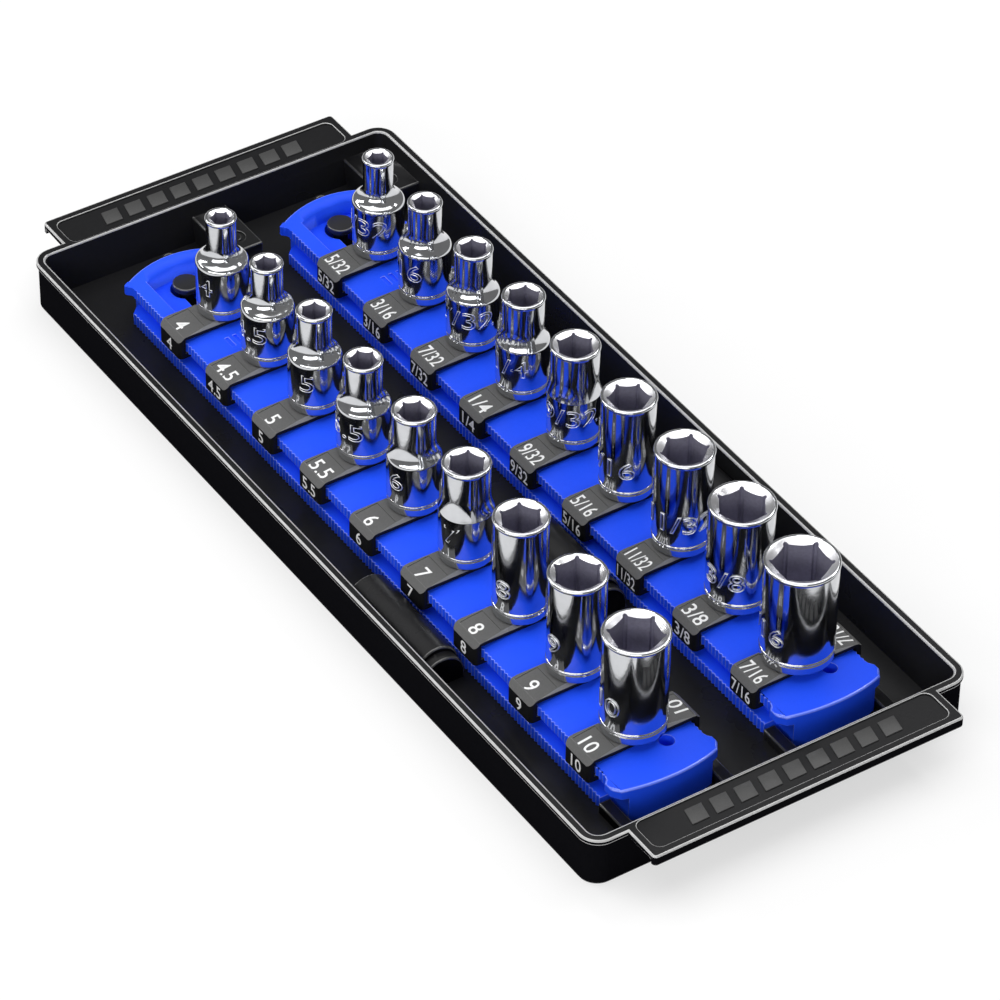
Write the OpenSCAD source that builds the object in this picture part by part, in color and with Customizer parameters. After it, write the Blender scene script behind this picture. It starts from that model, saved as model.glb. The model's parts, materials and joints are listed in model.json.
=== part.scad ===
// Socket organizer drawer box: a low tray with two rails of sliding, twist-lock socket clips.
// X runs across the tray, Y along it towards the far end, Z up from the underside of the tray.

/* [Tray] */
// Width of the tray over its rim
tray_w = 94.9; // [94:0.1:110]
// Length of the tray over its rim, without the pull lips
tray_l = 227.6; // [225:0.1:260]
// Height of the tray to the top of its rim
tray_h = 12.4; // [12:0.1:15]
// Radius of the tray's corners, seen from above
tray_corner_r = 4.7; // [4:0.1:8]
// Thickness of the floor
floor_t = 2.1; // [1.5:0.1:3]
// Width of the flat rim
rim_w = 2; // [1.5:0.1:2.5]
// How far the rim stands out past the wall
rim_over = 0.45; // [0.2:0.05:1]
// Height of the band that the rim makes outside
rim_band_h = 1.4; // [1:0.1:3]
// How far the inside of the wall leans in on its way down
wall_lean = 2.1; // [1:0.1:3]
// Height of the upright foot of the inside of the wall
wall_foot_h = 0.3; // [0.2:0.1:0.6]

/* [Pull lips] */
// How far a pull lip reaches past the rim
lip_reach = 9.2; // [6:0.1:14]
// Distance of a pull lip's sides from the tray's sides
lip_inset = 8.9; // [8:0.1:16]
// Thickness of a pull lip's plate
lip_t = 1.5; // [1:0.1:2]
// Radius of a pull lip's outer corners
lip_corner_r = 1; // [0.5:0.1:1.5]
// Height of the skirt along the outer edge of a pull lip
lip_skirt_h = 2.7; // [2:0.1:4]
// Thickness of that skirt
lip_skirt_t = 1.2; // [0.8:0.1:1.6]
// Width of the raised border of a pull lip
lip_border = 1.9; // [1:0.1:3]
// Depth of the panel inside the border
lip_panel_sink = 0.4; // [0.2:0.1:0.7]
// Radius of the panel's corners
lip_panel_r = 2; // [1:0.1:3]
// Width of the strip left between the panel and the inside of the tray
lip_strip = 0.7; // [0.5:0.1:1.2]

/* [Tray fittings] */
// Length of the arched humps
hump_l = 30; // [20:1:40]
// Place of the humps along the tray
hump_y = -33; // [-40:1:0]
// Height of the humps above the floor
hump_h = 8.3; // [6:0.1:9]
// Length of the lip at a hump's near end
hump_lip_l = 2.4; // [1:0.1:4]
// How far that lip stands down from the hump's back
hump_lip_drop = 1.2; // [0.5:0.1:2]
// Free space between a fitting of the tray and what slides past it
fitting_gap = 0.5; // [0.3:0.1:1]
// Height of the guide ribs beside a rail's near end
guide_h = 2.4; // [1.5:0.1:2.8]
// Thickness of the guide ribs
guide_t = 3; // [1:0.1:3.2]
// How far the guide ribs stand out past the sides of the foot flange
guide_out = 0.6; // [0.3:0.1:1]
// Height of the far blocks above the floor
block_h = 6.4; // [4:0.1:8]
// How far the far blocks reach past the far end of their rail towards the clips
block_reach = 4.2; // [2:0.1:8]
// Place of a drain hole right of the middle of its rail
drain_x = 5.8; // [4:0.1:8]
// Distance of the drain holes from the foot of the far wall
drain_inset = 2.2; // [2:0.1:4]
// Diameter of the drain holes in the floor
drain_d = 2.2; // [1.5:0.1:3]
// Width of the raised ring round a drain hole
drain_ring_t = 0.8; // [0.5:0.1:1.2]
// Height of that ring
drain_ring_h = 0.4; // [0.2:0.1:0.8]

/* [Rails] */
// Distance of a rail's near end from the foot of the near wall
rail_near_gap = 5.2; // [4:0.1:8]
// Distance of a rail's far end from the foot of the far wall
rail_far_gap = 11.2; // [9:0.1:14]
// Height of a rail
rail_h = 9.3; // [9:0.1:10]
// Half width of the top plate over its teeth
plate_half_w = 12.25; // [12:0.05:12.6]
// Thickness of the top plate in its middle
plate_t = 3.2; // [2.8:0.1:3.6]
// How far the top plate falls from its middle to its teeth
plate_fall = 0.9; // [0.4:0.1:1.2]
// How far the smooth ends of the top plate stand out past the teeth
plate_flare = 0.9; // [0.6:0.1:1.2]
// Radius of the near end of the top plate
near_end_r = 30; // [26:0.5:36]
// How far the near corners of the top plate are cut back across the rail
end_cut_w = 3; // [1:0.1:4]
// How far they are cut back along the rail
end_cut_l = 4.4; // [3:0.1:5]
// Radius of the far end of the top plate
far_end_r = 26.6; // [20:0.5:34]
// Length of the smooth near end
near_smooth_l = 7.5; // [6:0.1:7.5]
// Length of the smooth far end
far_smooth_l = 5; // [4:0.1:8]
// Half width of the rail's body under the top plate
body_half_w = 10.3; // [10:0.1:10.5]
// How far the body stands back from the top plate's far end
body_setback = 1.4; // [0.5:0.1:2]
// Half width of the foot flange over its teeth
foot_half_w = 13.4; // [13:0.1:13.8]
// Thickness of the foot flange
foot_t = 3; // [2.5:0.1:3.4]
// Distance of the foot flange from the rail's near end
foot_near_inset = 8; // [7.5:0.1:12]
// Distance of the foot flange from the rail's far end
foot_far_inset = 5.5; // [4:0.1:8]
// Bevel at the foot flange's far corners
foot_bevel = 2.1; // [1:0.1:3]
// Distance between two teeth
tooth_pitch = 1.25; // [1:0.05:3]
// Depth of the teeth
tooth_depth = 0.4; // [0.2:0.05:0.6]
// Depth of the channel under a rail
channel_h = 3.6; // [3:0.1:4]
// Thickness of the rail's wall beside the channel
channel_wall = 2; // [1.5:0.1:3]
// Diameter of the round hole at a rail's near end
near_hole_d = 3.4; // [2.5:0.1:4]
// Depth of that hole
near_hole_depth = 6; // [4:0.1:7]
// Place of that hole right of the rail's middle
near_hole_x = 4; // [3:0.1:5]
// Place of that hole from the rail's near end
near_hole_inset = 9.5; // [9:0.1:10]
// Width of each slot in the marked stretch of a rail
mark_w = 0.9; // [0.6:0.1:1.2]
// Length of each slot in the marked stretch
mark_l = 3.4; // [2:0.1:4]
// Distance between two slots
mark_step = 2; // [1.6:0.1:2.4]
// Depth of the slots, and of the arrows on the far blocks
mark_depth = 0.4; // [0.2:0.1:0.8]
// Number of slots
mark_count = 5; // [1:1:7]

/* [Keyholes] */
// Depth of the pocket at a rail's far end, from the middle of the plate
pocket_depth = 4; // [3:0.1:4.2]
// Half width of the pocket
pocket_half_w = 8.6; // [7:0.1:9]
// Width of the border round the pocket's far end
pocket_border = 4.3; // [3:0.1:4.6]
// Radius of the pocket's corners
pocket_r = 1.5; // [1:0.1:3]
// Length of the pocket on the rail's middle line
pocket_l = 15; // [14:0.1:15.4]
// Diameter of the keyhole's round end
keyhole_d = 7.3; // [7.1:0.1:7.8]
// Place of the keyhole from the rail's far end
keyhole_inset = 8.5; // [8.4:0.1:9]
// Length of the keyhole's slot from the middle of its round end
keyhole_slot_l = 9; // [6:0.1:10]
// Diameter of the button's head
button_d = 6.3; // [5:0.1:6.4]
// Thickness of the button's head
button_t = 1.5; // [1:0.1:1.6]
// Diameter of the button's neck
button_neck_d = 3.4; // [2.5:0.1:3.8]
// Free space under the button's head and beside its neck in the slot
neck_gap = 0.4; // [0.2:0.05:0.5]

/* [Clips] */
// Width of a clip across the rail
clip_w = 28; // [27.8:0.1:28.4]
// Length of a clip along the rail
clip_l = 8.9; // [8.8:0.1:9.2]
// Height of the clip's middle above the top of the rail
clip_crown = 1.9; // [1.8:0.05:2.2]
// How far the clip's top falls from its middle to its sides
clip_fall = 1.15; // [0.4:0.05:1.3]
// How far the clip's legs reach down from the top of the rail
clip_leg_h = 4.7; // [4.2:0.1:5.4]
// Free space between a clip and its rail
clip_play = 0.2; // [0.15:0.05:0.25]
// Radius of the clip's upright corners
clip_corner_r = 1; // [0.5:0.1:1.6]
// Size of the bevel along the clip's near and far edges
clip_bevel = 0.8; // [0.4:0.1:1]
// How far the bevel along the clip's left and right sides starts below the ends of its crown
clip_side_bevel = 1.1; // [0.8:0.1:1.2]
// Depth of the label pads
pad_sink = 0.12; // [0.06:0.02:0.2]
// Length of the label pads across the rail
pad_l = 5.5; // [4:0.1:5.8]
// Distance of the label pads from the clip's sides
pad_inset = 1.5; // [1.3:0.1:1.8]
// Place of the first clip from the rail's far end
first_clip_inset = 24.8; // [24:0.1:25]
// Place of the last clip from the rail's near end
last_clip_inset = 15.76; // [15:0.1:18]
// How much each next distance between two clips grows
pitch_growth = 0.25; // [0.2:0.01:0.27]

/* [Posts] */
// Width of the square post
post_side = 5.9; // [5.5:0.05:6.1]
// Height of the square post above its seat
post_h = 7; // [5:0.1:8]
// Bevel at the top of the post
post_bevel = 1; // [0.4:0.1:1.5]
// Diameter of the seat that carries the socket
seat_d = 10.4; // [9.8:0.1:10.8]
// Thickness of the seat
seat_t = 0.6; // [0.5:0.05:0.7]
// How far the seat stands above the clip's middle
seat_proud = 0.05; // [0.05:0.01:0.15]
// Diameter of the journal that turns in the clip
journal_d = 6.6; // [6:0.1:7]
// Diameter of the flange that snaps under the clip
snap_d = 7.4; // [7.2:0.1:7.6]
// Thickness of that flange
snap_t = 0.35; // [0.25:0.05:0.4]
// Free space round the journal
journal_play = 0.05; // [0.03:0.01:0.08]
// Free space round the seat and the snap flange
seat_play = 0.2; // [0.15:0.05:0.25]
// Diameter of the ball that holds the socket
detent_d = 2; // [1.5:0.1:2.5]
// How far the ball stands out of the post
detent_proud = 0.15; // [0.1:0.05:0.2]

/* [Sockets] */
// Height of a socket
socket_h = 25; // [22:0.5:28]
// Diameter of the drive end of the small sockets
drive_end_d = 12; // [11.6:0.1:12.4]
// Width of the square drive hole
drive_side = 6.4; // [6.3:0.05:6.5]
// Depth of the square drive hole
drive_depth = 8.5; // [8.2:0.1:10]
// Height of the drive end's straight part
shoulder_z = 12.8; // [11:0.1:13.5]
// Height at which the nose becomes straight
nose_z = 17.2; // [16.5:0.1:18]
// Radius of the shoulder
shoulder_r = 1.4; // [1:0.1:1.6]
// Height of the band at the foot of a socket
band_h = 2; // [1.5:0.1:2.4]
// How far that band stands back from the wall
band_sink = 0.15; // [0.05:0.05:0.25]
// Bevel under the band
band_bevel = 0.5; // [0.3:0.1:0.7]
// Width of the groove above the band
groove_w = 0.7; // [0.4:0.1:1]
// Depth of the groove
groove_depth = 0.3; // [0.1:0.05:0.4]
// Bevel round the mouth outside
mouth_bevel = 0.35; // [0.2:0.05:0.4]
// Width of the flat ring of the mouth
mouth_land = 0.35; // [0.2:0.05:0.4]
// Free space between a fastener's head and the hexagon
hex_play = 0.1; // [0.05:0.01:0.15]
// Depth of the hexagon
hex_depth = 11; // [8:0.1:12]
// Sizes of the metric sockets, from the far end
metric_af = [4, 4.5, 5, 5.5, 6, 7, 8, 9, 10]; // [3.5:0.5:11]
// Outer diameters of the metric sockets' mouths
metric_mouth_d = [7.1, 7.5, 8.1, 8.7, 9.8, 10.7, 12.2, 12.8, 14.5]; // [7:0.1:15]
// Outer diameters of the inch sockets' mouths
inch_mouth_d = [7.2, 7.9, 8.8, 9.7, 11.1, 12.3, 13.2, 14.6, 16.2]; // [7:0.1:17]
// Turns of the metric sockets' hexagons about their axes
metric_turns = [28, 11, 56, 20, 37, 53, 2, 58, 20]; // [0:1:60]
// Turns of the inch sockets' hexagons about their axes
inch_turns = [30, 12, 3, 50, 2, 30, 40, 56, 27]; // [0:1:60]

/* [Hidden] */
// Sizes of the inch sockets, as shares of an inch
inch = 25.4;
inch_size_shares = [5/32, 3/16, 7/32, 1/4, 9/32, 5/16, 11/32, 3/8, 7/16];
// Short names of the places on each rail, from the far end
metric_tags = ["m4", "m4_5", "m5", "m5_5", "m6", "m7", "m8", "m9", "m10"];
inch_tags = ["i5_32", "i3_16", "i7_32", "i1_4", "i9_32", "i5_16", "i11_32", "i3_8", "i7_16"];

// Colours of the materials
black_plastic = [0.05, 0.05, 0.055];
clip_plastic = [0.2, 0.2, 0.2];
rail_blue = [0.08, 0.2, 0.95];
post_plastic = [0.03, 0.03, 0.03];
chrome_grey = [0.8, 0.82, 0.85];

$fn = 64;
// Sides of a hull's own round parts
hull_sides = 32;
// Sides of the wide, flat arcs
crown_sides = 360;
// How far a cut runs past what it cuts
overrun = 0.5;

// Tray: derived sizes
wall_w = tray_w - 2 * rim_over;
wall_l = tray_l - 2 * rim_over;
mouth_w = tray_w - 2 * rim_w;
mouth_l = tray_l - 2 * rim_w;
floor_w = mouth_w - 2 * wall_lean;
floor_l = mouth_l - 2 * wall_lean;
mouth_corner_r = tray_corner_r - rim_w;
floor_corner_share = 0.6;
floor_corner_r = mouth_corner_r * floor_corner_share;
drain_y = floor_l / 2 - drain_inset;
lip_w = tray_w - 2 * lip_inset;
// Place and radius of the arrow on a far block, as shares of the block's width
arrow_place_share = 0.55;
arrow_r_share = 0.26;

// Radius of the arc that rises by a height over half its width
function arc_radius(half_width, rise) = (half_width * half_width + rise * rise) / (2 * rise);

// Rails: derived places
rail_far_y = floor_l / 2 - rail_far_gap;
rail_near_y = rail_near_gap - floor_l / 2;
rail_l = rail_far_y - rail_near_y;
// Floor left free beside the rails, and how much of it lies left and right of both
free_w = floor_w - 4 * foot_half_w;
left_gap_share = 0.2903;
right_gap_share = 0.2825;
metric_x = foot_half_w + free_w * left_gap_share - floor_w / 2;
inch_x = floor_w / 2 - free_w * right_gap_share - foot_half_w;
// Width of the far blocks, as a share of the floor between the rails
block_share = 0.637;
block_w = (inch_x - metric_x - 2 * foot_half_w) * block_share;
rail_top_z = floor_t + rail_h;
plate_under_z = rail_top_z - plate_t;
plate_end_half_w = plate_half_w + plate_flare;
crown_r = arc_radius(plate_half_w, plate_fall);
teeth_near_y = rail_near_y + near_smooth_l;
teeth_far_y = rail_far_y - far_smooth_l;
foot_near_y = rail_near_y + foot_near_inset;
foot_far_y = rail_far_y - foot_far_inset;
channel_half_w = body_half_w - channel_wall;
channel_near_y = rail_near_y + near_hole_inset + near_hole_d;
pocket_floor_z = rail_top_z - pocket_depth;
keyhole_y = rail_far_y - keyhole_inset;
slot_half_w = button_neck_d / 2 + neck_gap;
button_under_z = pocket_floor_z + neck_gap;

// Clips: derived places
last_clip = len(metric_tags) - 1;
clip_span = rail_l - first_clip_inset - last_clip_inset;
clip_pitch = clip_span / last_clip - pitch_growth * (last_clip - 1) / 2;
function clip_y(i) = rail_far_y - first_clip_inset - clip_pitch * i - pitch_growth * i * (i - 1) / 2;
clip_half_w = clip_w / 2;
clip_top_z = rail_top_z + clip_crown;
clip_under_z = rail_top_z + clip_play;
clip_foot_z = rail_top_z - clip_leg_h;
clip_hook_top_z = plate_under_z - clip_play;
clip_arch_r = arc_radius(clip_half_w, clip_fall);
clip_side_in = plate_half_w + clip_play;
clip_hook_in = body_half_w + clip_play;

// Posts: derived heights
seat_top_z = clip_top_z + seat_proud;
seat_under_z = seat_top_z - seat_t;
snap_pocket_h = snap_t + 2 * journal_play;

// Sockets: derived sizes
groove_r = arc_radius(groove_w / 2, groove_depth);
// How far the two arcs of a socket's shoulder run into each other
arc_overlap = 0.02;
// Diameter of the bore between hexagon and square, as a share of the smaller of the two
through_share = 0.72;
// Depth of the mouth's cone, as a share of its width
countersink_share = 0.6;
// Radius of the cone's tip, as a share of the hexagon's half width
countersink_tip_share = 0.8;
function hex_width(af) = af + hex_play;
function through_d(af) = min(drive_side, hex_width(af)) * through_share;

// Rounded rectangle from true arcs and straight sides
module rounded_plate(w, l, r) {
    square([w, l - 2 * r], center = true);
    square([w - 2 * r, l], center = true);
    for (sx = [-1, 1], sy = [-1, 1])
        translate([sx * (w / 2 - r), sy * (l / 2 - r)])
            circle(r);
}

// Extrudes an outline drawn in X and Z along Y, from one place to another
module along_y(from_y, to_y) {
    translate([0, to_y, 0])
        rotate([90, 0, 0])
            linear_extrude(to_y - from_y)
                children();
}

// Tray, with its pull lips and everything moulded into it
module tray() {
    color(black_plastic)
    difference() {
        union() {
            tray_shell();
            pull_lip();
            mirror([0, 1, 0])
                pull_lip();
            intersection() {
                tray_fittings();
                translate([0, 0, floor_t / 2])
                    linear_extrude(tray_h)
                        rounded_plate(mouth_w, mouth_l, mouth_corner_r);
            }
        }
        for (x = [metric_x, inch_x])
            translate([x + drain_x, drain_y, -overrun])
                cylinder(h = floor_t + drain_ring_h + 2 * overrun, d = drain_d);
    }
}

// Everything that stands on the floor, from wall to wall
module tray_fittings() {
    for (x = [metric_x, inch_x])
        translate([x, 0, 0]) {
            guide_ribs();
            translate([drain_x, drain_y, 0])
                cylinder(h = floor_t + drain_ring_h, d = drain_d + 2 * drain_ring_t);
        }
    far_block(metric_x + foot_half_w + fitting_gap, metric_x + foot_half_w + fitting_gap + block_w);
    far_block(inch_x + foot_half_w + fitting_gap, mouth_w / 2);
    hump(-mouth_w / 2, metric_x - clip_half_w - fitting_gap);
    hump(metric_x + clip_half_w + fitting_gap, inch_x - clip_half_w - fitting_gap);
    hump(inch_x + clip_half_w + fitting_gap, mouth_w / 2);
}

// Floor, leaning walls and the band under the rim
module tray_shell() {
    difference() {
        union() {
            linear_extrude(tray_h)
                rounded_plate(wall_w, wall_l, tray_corner_r - rim_over);
            translate([0, 0, tray_h - rim_band_h])
                linear_extrude(rim_band_h)
                    rounded_plate(tray_w, tray_l, tray_corner_r);
        }
        tray_hollow();
        lip_panel();
        mirror([0, 1, 0])
            lip_panel();
    }
}

// The space inside the walls
module tray_hollow() {
    hull() {
        translate([0, 0, floor_t])
            linear_extrude(wall_foot_h)
                rounded_plate(floor_w, floor_l, floor_corner_r, $fn = hull_sides);
        translate([0, 0, tray_h])
            linear_extrude(overrun)
                rounded_plate(mouth_w, mouth_l, mouth_corner_r, $fn = hull_sides);
    }
}

// Pull lip at the far end: a plate level with the rim, with a skirt along its outer edge
module pull_lip() {
    root_y = tray_l / 2 - rim_over;
    outer_y = tray_l / 2 + lip_reach;
    difference() {
        intersection() {
            union() {
                translate([-lip_w / 2, root_y, tray_h - lip_t])
                    cube([lip_w, outer_y - root_y, lip_t]);
                translate([-lip_w / 2, outer_y - lip_skirt_t, tray_h - lip_skirt_h])
                    cube([lip_w, lip_skirt_t, lip_skirt_h]);
            }
            linear_extrude(tray_h)
                rounded_plate(lip_w, 2 * outer_y, lip_corner_r);
        }
        lip_panel();
    }
}

// The sunk panel of the far pull lip, which reaches over the rim
module lip_panel() {
    inner_y = mouth_l / 2 + lip_strip;
    outer_y = tray_l / 2 + lip_reach - lip_border;
    translate([0, (inner_y + outer_y) / 2, tray_h - lip_panel_sink])
        linear_extrude(lip_panel_sink + overrun)
            rounded_plate(lip_w - 2 * lip_border, outer_y - inner_y, lip_panel_r);
}

// Two ribs that keep the near end of a rail in line
module guide_ribs() {
    for (sx = [-1, 1])
        translate([sx * (foot_half_w + guide_out - guide_t / 2) - guide_t / 2, -mouth_l / 2, 0])
            cube([guide_t, mouth_l / 2 + foot_near_y - fitting_gap, floor_t + guide_h]);
}

// Block at the right of a rail's far end, with a hooked arrow cut into its top
module far_block(from_x, to_x) {
    near_y = rail_far_y - block_reach;
    difference() {
        translate([from_x, near_y, 0])
            cube([to_x - from_x, mouth_l / 2 - near_y, floor_t + block_h]);
        translate([from_x + block_w / 2, near_y + block_w * arrow_place_share, floor_t + block_h - mark_depth])
            linear_extrude(mark_depth + overrun)
                hooked_arrow(block_w * arrow_r_share);
    }
}

// Three quarters of a ring, and a straight tail
module hooked_arrow(r) {
    difference() {
        circle(r);
        circle(r - mark_w);
        translate([-r - overrun, -r - overrun])
            square(r + overrun);
    }
    translate([-r, -r])
        square([mark_w, r]);
}

// Arched hump between two places across the tray, with a lower lip at its near end
module hump(from_x, to_x) {
    far_y = hump_y + hump_l / 2;
    near_y = hump_y - hump_l / 2;
    along_y(near_y + hump_lip_l, far_y)
        arch(from_x, to_x, hump_h);
    along_y(near_y, far_y)
        arch(from_x, to_x, hump_h - hump_lip_drop);
}

// Upright sides with a round back, of a height above the floor
module arch(from_x, to_x, h) {
    r = (to_x - from_x) / 2;
    translate([from_x, 0])
        square([2 * r, floor_t + h - r]);
    translate([from_x + r, floor_t + h - r])
        circle(r);
}

// Rail, drawn round its own middle line
module rail() {
    color(rail_blue)
    difference() {
        union() {
            rail_plate();
            rail_body();
            rail_foot();
        }
        translate([-channel_half_w, channel_near_y, floor_t - overrun])
            cube([2 * channel_half_w, keyhole_y - channel_near_y, channel_h + overrun]);
        rail_pocket();
        keyhole();
        translate([near_hole_x, rail_near_y + near_hole_inset, rail_top_z - near_hole_depth])
            cylinder(h = near_hole_depth + overrun, d = near_hole_d);
        rail_mark();
    }
}

// Top plate: crowned, toothed along both sides and smooth at both ends
module rail_plate() {
    intersection() {
        translate([0, 0, plate_under_z])
            linear_extrude(plate_t)
                plate_outline(rail_near_y, rail_far_y);
        along_y(rail_near_y - overrun, rail_far_y + overrun)
            translate([0, rail_top_z - crown_r])
                circle(crown_r, $fn = crown_sides);
    }
}

// Outline of the top plate, seen from above
module plate_outline(near_y, far_y) {
    toothed_strip(plate_half_w, teeth_near_y, teeth_far_y);
    intersection() {
        translate([0, near_y + near_end_r])
            circle(near_end_r);
        smooth_end(near_y, teeth_near_y, -1, end_cut_w, end_cut_l);
    }
    intersection() {
        translate([0, far_y - far_end_r])
            circle(far_end_r);
        smooth_end(teeth_far_y, far_y, 1, overrun, overrun);
    }
}

// Smooth end of the plate, which flares from the teeth: dir is 1 at the far end and -1 at the near end, and
// its corners are cut back across and along the rail
module smooth_end(from_y, to_y, dir, cut_w, cut_l) {
    root_y = dir > 0 ? from_y : to_y;
    tip_y = dir > 0 ? to_y : from_y;
    polygon([
        [-plate_half_w + tooth_depth, root_y - dir * tooth_pitch],
        [-plate_half_w, root_y],
        [-plate_end_half_w, root_y + dir * plate_flare],
        [-plate_end_half_w, tip_y - dir * cut_l],
        [-plate_end_half_w + cut_w, tip_y],
        [plate_end_half_w - cut_w, tip_y],
        [plate_end_half_w, tip_y - dir * cut_l],
        [plate_end_half_w, root_y + dir * plate_flare],
        [plate_half_w, root_y],
        [plate_half_w - tooth_depth, root_y - dir * tooth_pitch]
    ]);
}

// Strip along Y with a row of teeth down each side
module toothed_strip(half_w, from_y, to_y) {
    count = floor((to_y - from_y) / tooth_pitch);
    pitch = (to_y - from_y) / count;
    right = [
        for (i = [0:count - 1]) each [
            [half_w, from_y + i * pitch],
            [half_w - tooth_depth, from_y + (i + 0.5) * pitch]
        ],
        [half_w, to_y]
    ];
    count_right = len(right);
    left = [for (i = [count_right - 1:-1:0]) [-right[i][0], right[i][1]]];
    polygon(concat(right, left));
}

// Body of the rail under the plate: its near end is flush with the plate's, its far end stands back from it
module rail_body() {
    translate([0, 0, floor_t])
        linear_extrude(plate_under_z - floor_t)
            intersection() {
                translate([-body_half_w, rail_near_y])
                    square([2 * body_half_w, rail_l]);
                union() {
                    translate([0, rail_near_y + near_end_r])
                        circle(near_end_r);
                    translate([-body_half_w, rail_near_y + near_end_r])
                        square([2 * body_half_w, rail_l - near_end_r - far_end_r - body_setback]);
                    translate([0, rail_far_y - body_setback - far_end_r])
                        circle(far_end_r);
                }
            }
}

// Foot flange, toothed along both sides, with bevelled far corners
module rail_foot() {
    translate([0, 0, floor_t])
        linear_extrude(foot_t) {
            toothed_strip(foot_half_w, foot_near_y, foot_far_y - foot_bevel);
            polygon([
                [-foot_half_w, foot_far_y - foot_bevel],
                [-foot_half_w + foot_bevel, foot_far_y],
                [foot_half_w - foot_bevel, foot_far_y],
                [foot_half_w, foot_far_y - foot_bevel]
            ]);
        }
}

// Sunk pocket at the far end, whose end follows the rail's
module rail_pocket() {
    far_y = rail_far_y - pocket_border;
    translate([0, 0, pocket_floor_z])
        linear_extrude(pocket_depth + overrun)
            intersection() {
                translate([0, far_y - far_end_r])
                    circle(far_end_r);
                translate([0, far_y + (overrun - pocket_l) / 2])
                    rounded_plate(2 * pocket_half_w, pocket_l + overrun, pocket_r);
            }
}

// Keyhole: a round end that passes the button's head and a slot that passes only its neck
module keyhole() {
    translate([0, keyhole_y, floor_t - overrun])
        cylinder(h = rail_h + 2 * overrun, d = keyhole_d);
    translate([-slot_half_w, keyhole_y - keyhole_slot_l, floor_t - overrun])
        cube([2 * slot_half_w, keyhole_slot_l, rail_h + 2 * overrun]);
}

// Row of short slots between the first two clips
module rail_mark() {
    mark_y = clip_y(0) - clip_pitch / 2;
    for (i = [0:mark_count - 1])
        translate([(i - (mark_count - 1) / 2) * mark_step - mark_w / 2, mark_y - mark_l / 2, rail_top_z - mark_depth])
            cube([mark_w, mark_l, mark_depth + overrun]);
}

// Button in a keyhole, standing on the tray floor: its head lies over the pocket's floor
module button() {
    color(black_plastic)
    translate([0, keyhole_y, floor_t]) {
        cylinder(h = button_under_z - floor_t, d = button_neck_d);
        translate([0, 0, button_under_z - floor_t])
            cylinder(h = button_t, d = button_d);
    }
}

// Clip, drawn round its own middle: a crowned saddle with two hooked legs, and a bore for its post
module clip() {
    color(clip_plastic)
    difference() {
        intersection() {
            along_y(-clip_l / 2, clip_l / 2)
                clip_section();
            linear_extrude(clip_top_z + overrun)
                rounded_plate(clip_w, clip_l, clip_corner_r);
            clip_side_view();
        }
        clip_pads();
        translate([0, 0, seat_under_z])
            cylinder(h = clip_top_z, d = seat_d + 2 * seat_play);
        cylinder(h = clip_top_z, d = journal_d + 2 * journal_play);
        translate([0, 0, clip_under_z - overrun])
            cylinder(h = snap_pocket_h + overrun, d = snap_d + 2 * seat_play);
    }
}

// The clip's outline seen along the rail: crowned, bevelled at its sides, open over the plate and the body
module clip_section() {
    shoulder_z = clip_top_z - clip_fall - clip_side_bevel;
    rise = clip_top_z + overrun - shoulder_z;
    difference() {
        intersection() {
            translate([0, clip_top_z - clip_arch_r])
                circle(clip_arch_r, $fn = crown_sides);
            polygon([
                [-clip_half_w, clip_foot_z],
                [clip_half_w, clip_foot_z],
                [clip_half_w, shoulder_z],
                [clip_half_w - rise, clip_top_z + overrun],
                [-clip_half_w + rise, clip_top_z + overrun],
                [-clip_half_w, shoulder_z]
            ]);
        }
        translate([-clip_side_in, clip_hook_top_z])
            square([2 * clip_side_in, clip_under_z - clip_hook_top_z]);
        translate([-clip_hook_in, clip_foot_z - overrun])
            square([2 * clip_hook_in, clip_hook_top_z + 2 * overrun - clip_foot_z]);
    }
}

// The clip's outline seen from the side, which bevels its near and far edges
module clip_side_view() {
    half_l = clip_l / 2;
    rotate([90, 0, 90])
        translate([0, 0, -clip_half_w - overrun])
            linear_extrude(clip_w + 2 * overrun)
                polygon([
                    [-half_l, clip_foot_z - overrun],
                    [half_l, clip_foot_z - overrun],
                    [half_l, clip_top_z - clip_bevel],
                    [half_l - clip_bevel, clip_top_z],
                    [-half_l + clip_bevel, clip_top_z],
                    [-half_l, clip_top_z - clip_bevel]
                ]);
}

// Shallow label pads at both sides of the clip's top, following its crown
module clip_pads() {
    half_l = clip_l / 2 - clip_bevel;
    along_y(-half_l, half_l)
        difference() {
            for (x = [pad_inset - clip_half_w, clip_half_w - pad_inset - pad_l])
                translate([x, clip_top_z - clip_crown])
                    square([pad_l, clip_crown + overrun]);
            translate([0, clip_top_z - clip_arch_r])
                circle(clip_arch_r - pad_sink, $fn = crown_sides);
        }
}

// Post, drawn round its own axis: snap flange, journal, seat and bevelled square with its ball
module post() {
    snap_z = clip_under_z + journal_play;
    color(post_plastic) {
        translate([0, 0, snap_z])
            cylinder(h = snap_t, d = snap_d);
        translate([0, 0, snap_z])
            cylinder(h = seat_top_z - snap_z, d = journal_d);
        translate([0, 0, seat_under_z])
            cylinder(h = seat_t, d = seat_d);
        translate([0, 0, seat_top_z])
            post_square();
        translate([0, -post_side / 2 - detent_proud + detent_d / 2, seat_top_z + post_h / 2])
            sphere(d = detent_d);
    }
}

// Square shank, bevelled on all four sides at its top
module post_square() {
    half = post_side / 2;
    intersection_for (turn = [0, 90])
        rotate([90, 0, turn])
            translate([0, 0, -half])
                linear_extrude(post_side)
                    polygon([
                        [-half, 0],
                        [half, 0],
                        [half, post_h - post_bevel],
                        [half - post_bevel, post_h],
                        [post_bevel - half, post_h],
                        [-half, post_h - post_bevel]
                    ]);
}

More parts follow.
